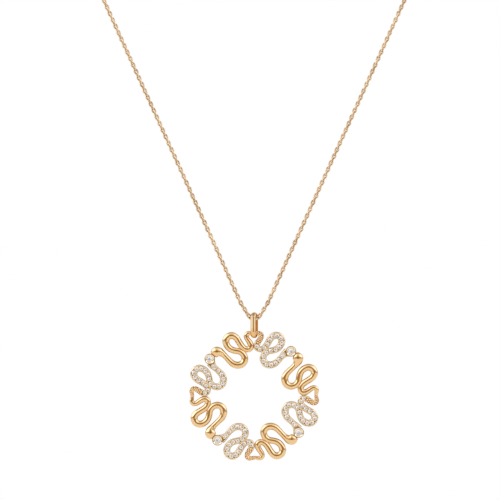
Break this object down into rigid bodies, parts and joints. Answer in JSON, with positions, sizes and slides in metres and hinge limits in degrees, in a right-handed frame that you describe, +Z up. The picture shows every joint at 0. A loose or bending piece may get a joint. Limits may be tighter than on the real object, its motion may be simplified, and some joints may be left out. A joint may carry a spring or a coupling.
{
  "type": "snake pendant necklace",
  "caption": "Round openwork pendant of soldered snakes, plain and paved with stones, swinging on a bail from a fine cable chain worn round the neck.",
  "frame": {"origin": "the nape: the middle of the clasp, where the chain lies on the back of the neck", "axes": "+Z up, +X to the right as the viewer sees the front, the pendant's front faces -Y and the neck is behind it at +Y"},
  "size_m": [0.1086, 0.1179, 0.1455],
  "materials": {
    "rose_gold": "polished rose gold, soldered",
    "bail_gold": "polished rose gold",
    "chain_gold": "polished rose gold links",
    "clear_stone": "round brilliant cut, colourless"
  },
  "bodies": {
    "necklace": {"chain": "chain_gold", "clasp": "chain_gold"},
    "bail_loop": {"bail": "bail_gold"},
    "pendant": {"wreath": "rose_gold", "head_stone_ne": "clear_stone", "head_stone_se": "clear_stone", "head_stone_sw": "clear_stone", "head_stone_nw": "clear_stone"}
  },
  "joints": [
    {"name": "bail_swing", "type": "hinge", "parent": "necklace", "child": "bail_loop", "pos_m": [0, -0.116, -0.11167], "axis": [1, 0, 0], "range_deg": [-60, 60]},
    {"name": "pendant_swing", "type": "hinge", "parent": "bail_loop", "child": "pendant", "pos_m": [0, -0.116, -0.1151], "axis": [1, 0, 0], "range_deg": [-55, 55]}
  ]
}
